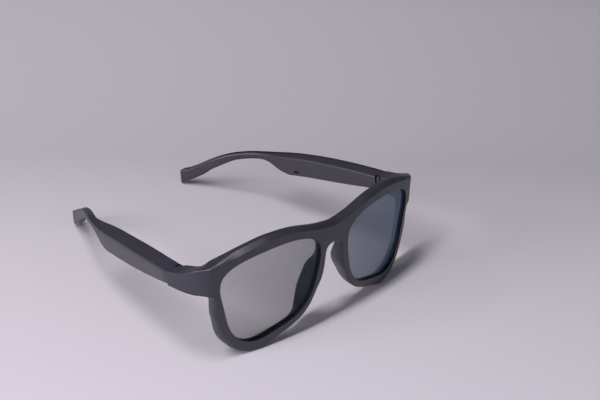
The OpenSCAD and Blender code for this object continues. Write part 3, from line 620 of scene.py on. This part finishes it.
def stadium(u, w, length, width, steps=14):
    """A slot outline with round ends, length along its first direction."""
    a = np.linspace(-math.pi / 2, math.pi / 2, steps)
    half, r = (length - width) / 2, width / 2
    end = np.stack([half + r * np.cos(a), r * np.sin(a)], -1)
    return np.vstack([end, -end]) + (u, w)


def barrel_pocket(side):
    """Room for the hinge barrel: a cylinder round the pin."""
    a = np.radians(np.arange(0, 360, 7.5))
    ring = np.stack([PIVOT_V + KNUCKLE_SPACE * np.cos(a), KNUCKLE_SPACE * np.sin(a)], -1)
    return prism(side, ring, -BARREL_HALF, BARREL_HALF, 2)


def moulded_nylon(name, colour, dark, pale, gloss=0.6):
    """Glass-filled nylon from a spark-eroded mould: matt and near black-grey, with a fine even
    grain of about 0.35 mm, faint cloudiness from the mould's fill and a soft sheen."""
    material, tree, shader = finish(name, {"IOR": 1.53, "Specular IOR Level": gloss})
    place = add(tree, "TexCoord").outputs["Object"]
    cloud = add(tree, "TexNoise", {"Vector": place, "Scale": 60.0, "Detail": 3.0})
    ramp = add(tree, "ValToRGB", {"Fac": cloud.outputs["Fac"]})
    ramp.color_ramp.elements[0].position, ramp.color_ramp.elements[1].position = 0.3, 0.72
    ramp.color_ramp.elements[0].color = linear(dark)
    ramp.color_ramp.elements[1].color = linear(pale)
    middle = ramp.color_ramp.elements.new(0.5)
    middle.color = linear(colour)
    tree.links.new(ramp.outputs["Color"], shader.inputs["Base Color"])
    rough = add(tree, "MapRange", {"Value": cloud.outputs["Fac"], "To Min": 0.36, "To Max": 0.48})
    tree.links.new(rough.outputs["Result"], shader.inputs["Roughness"])
    grain = add(tree, "TexNoise", {"Vector": place, "Scale": 2800.0, "Detail": 2.0})
    bump = add(tree, "Bump", {"Height": grain.outputs["Fac"], "Strength": 0.12,
                              "Distance": 0.00005})
    tree.links.new(bump.outputs["Normal"], shader.inputs["Normal"])
    return material


frame_nylon = moulded_nylon("moulded_nylon", "#252633", "#22232f", "#292a38", 0.65)
# The wall round each lens is painted near black: painted shade for the shadow in the opening.
wall_painted_shade = moulded_nylon("painted_shade_wall_nylon", "#0b0b0d", "#09090b", "#0e0e10", 0.2)
front.data.materials.append(frame_nylon)
front.data.materials.append(wall_painted_shade)
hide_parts("front_frame")
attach(front, "front")

# Lenses
# Tinted polyamide sun lenses, 1.8 mm thick and curved with the face, cut to the opening's shape
# and snapped into a groove round it.


def lens_sheet(side):
    """Rings of the lens outline shrunk towards the lens's middle, laid on the front curve and on
    the back curve, and joined round the edge. Both poles are closed."""
    count = 192
    angles = np.linspace(0, 360, count, endpoint=False)
    rim = lens_edge(angles, np.full(count, LENS_BITE))
    middle = np.array([LENS_MID, LENS_Z0 + LENS_H / 2])
    shrink = np.concatenate([[0], np.linspace(0.04, 1, 30)])[:, None, None]
    flat = middle + (rim[None] - middle) * shrink
    front_curve, back_curve = (
        np.stack([side * flat[..., 0], face_y(flat[..., 0], inset), flat[..., 1]], -1)
        for inset in (LENS_RECESS, LENS_RECESS + LENS_THICK))
    points = np.vstack([front_curve, back_curve[::-1]])
    return points.reshape(-1, 3), grid_faces(points.shape[0], points.shape[1], False, True)


def tinted_lens():
    """Dyed polyamide, hard-coated: a grey tint, pale seen straight on and denser at a slant, with
    a painted bluish reflection in its colour at a slant, and a faint uneven dye."""
    material, tree, shader = finish("tinted_polyamide", {
        "IOR": 1.58, "Roughness": 0.04, "Specular IOR Level": 0.3})
    place = add(tree, "TexCoord").outputs["Object"]
    dye = add(tree, "TexNoise", {"Vector": place, "Scale": 35.0, "Detail": 2.0})
    shade = add(tree, "MixRGB", {"Fac": dye.outputs["Fac"], "Color1": linear("#17191d"),
                                 "Color2": linear("#1a1c20")})
    slant = add(tree, "LayerWeight", {"Blend": 0.5}).outputs["Facing"]
    reflection_share = add(tree, "MapRange", {"Value": slant, "From Min": 0.3, "From Max": 0.55})
    # Painted reflection: the lens colour turns bluish at a slant.
    painted_reflection = add(tree, "MixRGB", {"Fac": reflection_share.outputs["Result"], "Color2": linear("#2f4f71"),
                                 "Color1": shade.outputs["Color"]})
    tree.links.new(painted_reflection.outputs["Color"], shader.inputs["Base Color"])
    cover = add(tree, "MapRange", {"Value": slant, "From Min": 0.1, "From Max": 0.8,
                                   "To Min": 0.1, "To Max": 0.84})
    tree.links.new(cover.outputs["Result"], shader.inputs["Alpha"])
    return material


lens_tint = tinted_lens()
for side_name, side_sign in (("left", 1), ("right", -1)):
    lens = piece_from(side_name + "_sun_lens", *lens_sheet(side_sign), sharp=50)
    lens.data.materials.append(lens_tint)
    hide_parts(side_name + "_lens")
    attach(lens, "front")

# Temple housings
# Each temple is a nylon moulding that swells round its electronics, narrows to a slim neck and
# bends down and inward to a squared tip. A thin lip runs along the top of its outer face.
# Places on it are v across, u along and w up, from the middle of its front end.

HOOK_START, TEMPLE_LEN, HOOK_LEN, TIP_ROUND = 85, 129.5, 49, 2.0
OUTER_V, HOOK_IN, HOOK_W = 4.85, 20.3, 4.6
INNER_V = OUTER_V - SEAM_W
TIP_LOW, TIP_TOP = np.array([128.8, -17.5]), np.array([128.5, -8.9])
NECK_TOP, NECK_LOW = 4.1, 0.4
LIP, COVER_THICK, COVER_FROM, COVER_TO, COVER_SUNK = 0.6, 1.3, 4, 66, 0.8
# Holes by place, size and where they end. Their cutters start clear of the inner face or clear
# below, and a hole that is as wide as long, less a hair, comes out round.
CLEAR_IN, CLEAR_BELOW = -6, -8
OUTLET_U, OUTLET_W, OUTLET_SIZE, OUTLET_END = 53.25, -3.15, (3.4, 1.6), -3.2
CONTACT_U, CONTACT_PITCH, CONTACT_SIZE, CONTACT_END = 15.4, 4, (1.9, 1.899), -3.6
MIC_V, MIC_U, MIC_SIZE, MIC_END = 1.7, 34.9, (0.7, 0.699), -3
BUTTON_V, BUTTON_U, BUTTON_SIZE, BUTTON_END = 0.6, 38.3, (6.3, 2.5), -2.6


def hook_u(f):
    """Distance along the temple at a fraction of the hook."""
    return HOOK_START + f * (TEMPLE_LEN - HOOK_START)


def bent(f):
    """Place across the temple at a fraction of the hook's inward bend."""
    return OUTER_V - f * HOOK_IN


outside_run = spline([
    (-2, OUTER_V - 0.35), (11.2, OUTER_V), (31.3, OUTER_V), (50.7, bent(0.042)),
    (65, bent(0.112)), (80, bent(0.278)), (hook_u(0.225), bent(0.503)),
    (hook_u(0.607), bent(0.752)), (TEMPLE_LEN + 1, bent(1))])
inside_run = spline([
    (-2, INNER_V - 0.35), (11.2, INNER_V), (31.3, INNER_V), (44, INNER_V), (55, INNER_V - 0.4),
    (64, INNER_V - 0.45), (72, INNER_V - 0.2), (81, bent(0.278) - HOOK_W),
    (hook_u(0.225), bent(0.503) - HOOK_W), (hook_u(0.607), bent(0.752) - HOOK_W),
    (TEMPLE_LEN + 1, bent(1) - HOOK_W)])
top_run = spline([(-2, 3.1), (5.9, 3.7), (19.5, 4.5), (32.5, 4.95), (43.7, 5.1), (56, 4.9),
                  (68, 4.3), (77, 4.1), (HOOK_START, 4.0)] + [
    (hook_u(f), NECK_TOP + g * (TIP_TOP[1] - NECK_TOP))
    for f, g in ((0.135, 0.053), (0.281, 0.138), (0.423, 0.285), (0.582, 0.503), (0.74, 0.754),
                 (0.87, 0.923))] + [tuple(TIP_TOP)])
low_run = spline([(-2, -3.6), (5.9, -3.9), (20, -4.65), (34.2, -5), (45.4, -5.25), (54, -5.45),
                  (59, -5.6), (64, -4.5), (68, -2.9), (72, -0.9), (77, 0.4), (83, 0.4)] + [
    (hook_u(f), NECK_LOW + g * (TIP_LOW[1] - NECK_LOW))
    for f, g in ((0.079, 0.027), (0.213, 0.094), (0.385, 0.275), (0.555, 0.475), (0.7, 0.695))]
    + [tuple(TIP_LOW)])


def temple_stations():
    """Upper and lower end of every section as [along, up], and how far the section is drawn in.
    Sections stand upright as far as the neck, then turn with the hook. The first and last few
    are drawn in by a quarter circle, which rounds the ends, and two that lie a hair apart make a
    step."""
    hair = 0.01
    straight = np.concatenate([
        [0.15, 0.17, 0.25, 0.4, 0.8, RELIEF - hair, RELIEF + hair, 1.6, 2.2, 3, 3.5],
        [COVER_FROM - hair, COVER_FROM + hair], np.arange(4.5, 65.9, 0.9),
        [COVER_TO - hair, COVER_TO + hair], np.arange(66.7, HOOK_START - 0.3, 0.8)])
    drawn = np.zeros(len(straight))
    drawn[:4] = (0.25, 0.13, 0.03, 0)
    upper = np.stack([straight, read(top_run, straight)], -1)
    lower = np.stack([straight, read(low_run, straight)], -1)

    def tail(run, f):
        """Places on a run beyond the neck, at fractions of its length."""
        part = np.vstack([[HOOK_START, read(run, HOOK_START)], run[run[:, 0] > HOOK_START]])
        return at_arc(part, f * arc_of(part)[-1])

    turn = np.linspace(0, math.pi / 2, 7)
    before_tip = np.linspace(0, 1 - TIP_ROUND / HOOK_LEN, 60)[:-1]
    f = np.concatenate([before_tip, 1 - TIP_ROUND / HOOK_LEN * (1 - np.sin(turn))])
    inset = np.concatenate([0 * before_tip, TIP_ROUND * (1 - np.cos(turn))])
    return (np.vstack([upper, tail(top_run, f)]), np.vstack([lower, tail(low_run, f)]),
            np.concatenate([drawn, inset]))


def quarter(steps, at_start):
    """Quarter circle of unit radius as offsets from its corner, from one edge to the next."""
    a = np.linspace(0, math.pi / 2, steps)
    first, second = 1 - np.sin(a), 1 - np.cos(a)
    return (second, first) if at_start else (first, second)


def corner_rows(height, neck, step, lip, cover):
    """Points of one section, in order round it, as rows of four: across from inside 0 to outside
    1, down from the upper end 0 to the lower end 1, and how far in from there across and along
    the height. The four corners are quarter circles, rounder on the neck, and the outer side
    steps in under the lip."""
    round_top, round_low = 0.45 + 0.75 * neck, 0.9 + 0.3 * neck
    none = np.zeros(len(height))
    lip_end = np.maximum(lip, round_top + 0.02)
    sag = (height - lip - round_low) / 4
    inner_top = [(0, 0, a * (round_top + 0.3), b * (round_top + 0.3))
                 for a, b in zip(*quarter(6, False))]
    outer_top = [(1, 0, a * round_top, b * round_top) for a, b in zip(*quarter(6, True))]
    under_lip = [(1, 0, none, lip_end), (1, 0, step, lip_end + 0.03)]
    outer_side = [(1, 0, step, lip + k * sag) for k in (1, 2, 3)]
    outer_low = [(1, 1, step + a * round_low * ~cover, b * round_low)
                 for a, b in zip(*quarter(6, False))]
    low_side = [(1 - k, 1, none, none) for k in (0.25, 0.5, 0.75)]
    inner_low = [(0, 1, a * round_low, b * round_low) for a, b in zip(*quarter(6, True))]
    inner_side = [(0, k, none, none) for k in (0.75, 0.5, 0.25)]
    return (inner_top[::-1] + outer_top + under_lip + outer_side + outer_low[::-1] + low_side
            + inner_low[::-1] + inner_side)


def capped(ring, side):
    """Closes a row of sections with a fan at both ends, and moves it to its side's temple."""
    caps = ring[[0, -1]].mean(1, keepdims=True).repeat(ring.shape[1], 1)
    ring = np.concatenate([caps[:1], ring, caps[1:]])
    points = temple_place(ring[..., 0], ring[..., 1], ring[..., 2]) * (side, 1, 1)
    points[..., 2] = np.maximum(points[..., 2], 0)
    return points.reshape(-1, 3), grid_faces(ring.shape[0], ring.shape[1], False, True)


def temple_housing(side):
    """Closed sections carried along the temple. A section is a box between the outside, inside,
    upper and lower runs with rounded corners, and a step under the lip on its outer side."""
    upper, lower, drawn = temple_stations()
    height = np.linalg.norm(upper - lower, axis=1)
    u = upper[:, 0]
    neck = smooth(u, 66, 88)
    cover = (u > COVER_FROM) & (u < COVER_TO)
    step = np.where(cover, COVER_THICK + 0.02, COVER_SUNK * (1 - smooth(u, COVER_TO, 84)))
    outside, inside = (np.stack([read(run, upper[:, 0]), read(run, lower[:, 0])], 1)
                       for run in (outside_run, inside_run))
    inside = np.where((u < RELIEF)[:, None], PIVOT_V, inside)
    loops = []
    for across, down, off_v, off_w in corner_rows(height, neck, step, LIP + 0.5 * neck, cover):
        off_w = np.maximum(off_w, drawn) if down in (0, 1) else off_w
        off_v = off_v + drawn * (across in (0, 1))
        share = down + (off_w / height if down < 0.5 else -off_w / height)
        share = np.clip(share, drawn / height, 1 - drawn / height)
        place = upper + (lower - upper) * share[:, None]
        out = outside[:, 0] + (outside[:, 1] - outside[:, 0]) * share
        back_in = inside[:, 0] + (inside[:, 1] - inside[:, 0]) * share
        v = back_in + (out - back_in) * across + (off_v if across < 0.5 else -off_v)
        loops.append(np.stack([v, place[:, 0], place[:, 1]], -1))
    return capped(np.stack(loops, 1), side)


# The temples get a paler copy of the front's nylon: painted light, so they look a shade paler.
temple_nylon_painted_light = moulded_nylon("temple_painted_light_nylon", "#2c2b36", "#282731", "#302f3b", 0.6)
for side_name, side_sign in (("left", 1), ("right", -1)):
    housing = piece_from(side_name + "_temple_moulding", *temple_housing(side_sign))
    cutters = [barrel_pocket(side_sign),
               prism(side_sign, stadium(OUTLET_U, OUTLET_W, *OUTLET_SIZE),
                     CLEAR_IN, OUTLET_END, 0),
               prism(side_sign, stadium(MIC_V, MIC_U, *MIC_SIZE), CLEAR_BELOW, MIC_END, 2)]
    if side_name == "right":
        button_hole = stadium(BUTTON_U, BUTTON_V, *BUTTON_SIZE)[:, ::-1]
        cutters.append(prism(side_sign, button_hole, CLEAR_BELOW, BUTTON_END, 2))
        for end in (-0.5, 0.5):
            contact_hole = stadium(CONTACT_U + end * CONTACT_PITCH, 0, *CONTACT_SIZE)
            cutters.append(prism(side_sign, contact_hole, CLEAR_IN, CONTACT_END, 0))
    carve(housing, *cutters)
    housing.data.materials.append(temple_nylon_painted_light)
    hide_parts(side_name + "_temple_housing")
    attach(housing, side_name + "_temple")

# Temple cover plates
# Thin nylon plates that close the electronics bay on the outer face. Each is pressed in under
# the lip and lies a little below it, so that the lip throws a thin shadow.

COVER_GAP, COVER_END_ROUND, COVER_EDGE, LIP_SHADOW = 0.08, 0.2, 0.35, 0.8


def cover_plate(side):
    """Slab sections carried along the temple from the lip's shadow to the lower edge, with rounded
    outer edges, and drawn in by a quarter circle at both ends."""
    first, last = COVER_FROM + COVER_GAP, COVER_TO - COVER_GAP
    ends = COVER_END_ROUND * (1 - np.sin(np.linspace(0, math.pi / 2, 4)))
    u = np.concatenate([first + ends[::-1], np.linspace(4.6, 65.4, 70), last - ends])
    short = np.maximum(COVER_END_ROUND - np.minimum(u - first, last - u), 0)
    drawn = COVER_END_ROUND - np.sqrt(np.maximum(COVER_END_ROUND ** 2 - short ** 2, 0))
    high, low = read(top_run, u) - LIP - LIP_SHADOW, read(low_run, u)
    out = read(outside_run, u) - COVER_SUNK
    thick = COVER_THICK - COVER_SUNK
    rows = [(out - thick + drawn, high - drawn)]
    for a, b in zip(*quarter(5, True)):
        rows.append((out - drawn - COVER_EDGE * a, high - drawn - COVER_EDGE * b))
    for k in (0.25, 0.5, 0.75):
        rows.append((out - drawn, high + (low - high) * k))
    for a, b in list(zip(*quarter(7, False)))[::-1]:
        rows.append((out - drawn - thick * a * 0.95, low + drawn + 0.9 * b))
    rows.append((out - thick + drawn, low + drawn))
    rows.append((out - thick + drawn, (high + low) / 2))
    return capped(np.stack([np.stack([v, u, w], -1) for v, w in rows], 1), side)


# The covers get a still paler copy of the nylon: painted light on the outer face, paler than the
# housings.
cover_nylon_painted_light = moulded_nylon("cover_nylon_painted_light", "#3a3a44", "#373741", "#3e3e48")
for side_name, side_sign in (("left", 1), ("right", -1)):
    plate = piece_from(side_name + "_cover_plate", *cover_plate(side_sign))
    plate.data.materials.append(cover_nylon_painted_light)
    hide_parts(side_name + "_temple_cover")
    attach(plate, side_name + "_temple")

# Hinges
# Stainless steel barrel hinges: two-knuckle leaf in the front, one-knuckle leaf in the temple
# and a slotted screw through all three, blanked and tumbled, so they are satin with fine lines.


def brushed_metal(name, colour, roughness):
    """Satin metal with fine lines along its length, about 0.15 mm apart."""
    material, tree, shader = finish(name, {"Metallic": 1.0, "Roughness": roughness})
    place = add(tree, "TexCoord").outputs["Object"]
    stretched = add(tree, "Mapping", {"Vector": place, "Scale": (1, 0.05, 1)})
    lines = add(tree, "TexNoise", {"Vector": stretched.outputs["Vector"], "Scale": 6500.0})
    tone = add(tree, "MapRange", {"Value": lines.outputs["Fac"], "To Min": 0.85, "To Max": 1.1})
    shade = add(tree, "HueSaturation", {"Color": linear(colour), "Value": tone.outputs["Result"]})
    tree.links.new(shade.outputs["Color"], shader.inputs["Base Color"])
    return material


def dress(name, *materials):
    """Gives a CAD node's material slots their real materials, in order."""
    for slot, material in zip(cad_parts[name].material_slots, materials * 4):
        slot.material = material


# The steel is darkened below its own colour: painted shade for the dark gap round each hinge.
steel = brushed_metal("satin_steel_painted_shade", "#6b6d72", 0.34)
for side_name in ("left", "right"):
    for part in ("hinge_front_leaf", "hinge_temple_leaf", "hinge_screw"):
        dress(f"{side_name}_{part}", steel)

# Electronics inside the temples
# Pouch battery in foil, green circuit board with black chips, tin-can microphone, moulded
# speaker with a steel yoke, and a polyimide flex between board and speaker.


def speckled(name, colour, other, scale, sockets):
    """A plain finish with a faint mottle of a second colour, scale in spots a metre."""
    material, tree, shader = finish(name, sockets)
    place = add(tree, "TexCoord").outputs["Object"]
    spots = add(tree, "TexNoise", {"Vector": place, "Scale": scale, "Detail": 3.0})
    shade = add(tree, "MixRGB", {"Fac": spots.outputs["Fac"], "Color1": linear(colour),
                                 "Color2": linear(other)})
    tree.links.new(shade.outputs["Color"], shader.inputs["Base Color"])
    bump = add(tree, "Bump", {"Height": spots.outputs["Fac"], "Strength": 0.1,
                              "Distance": 0.00005})
    tree.links.new(bump.outputs["Normal"], shader.inputs["Normal"])
    return material


# Foil is bright and slightly crumpled, solder mask and polyimide film are glossy, and resin matt.
foil = speckled("aluminium_foil", "#c6c8cc", "#b2b4b8", 900.0,
                {"Metallic": 0.9, "Roughness": 0.4})
solder_mask = speckled("green_solder_mask", "#14572f", "#1b6a3a", 1500.0, {"Roughness": 0.35})
tin_can = brushed_metal("tin_plate", "#b9b9bb", 0.3)
black_resin = speckled("black_resin", "#17171a", "#222226", 2500.0, {"Roughness": 0.55})
polyimide = speckled("polyimide_flex", "#b0702e", "#9c5f22", 1200.0, {"Roughness": 0.3})
for side_name in ("left", "right"):
    dress(side_name + "_battery", foil)
    dress(side_name + "_circuit_board", solder_mask, black_resin)
    dress(side_name + "_microphone", tin_can)
    dress(side_name + "_speaker", black_resin, tin_can)
    dress(side_name + "_speaker_mesh", black_resin)
    dress(side_name + "_speaker_flex", polyimide)

# Power button, switch and charging contacts
# A black moulded button over a tactile switch in the lower edge of the right temple, and gold
# plated contacts with nickel plated magnets in its inner face.

# The button is matt from its eroded mould, and the two platings are bright.
button_plastic = speckled("button_plastic", "#26262a", "#2e2e33", 2600.0, {"Roughness": 0.5})
gold_plate = brushed_metal("gold_plate", "#d9ad5b", 0.25)
nickel_plate = brushed_metal("nickel_plate", "#b8b5ae", 0.28)
dress("power_button", button_plastic)
dress("button_switch", tin_can)
dress("charging_contacts", gold_plate)
dress("charging_magnets", nickel_plate)
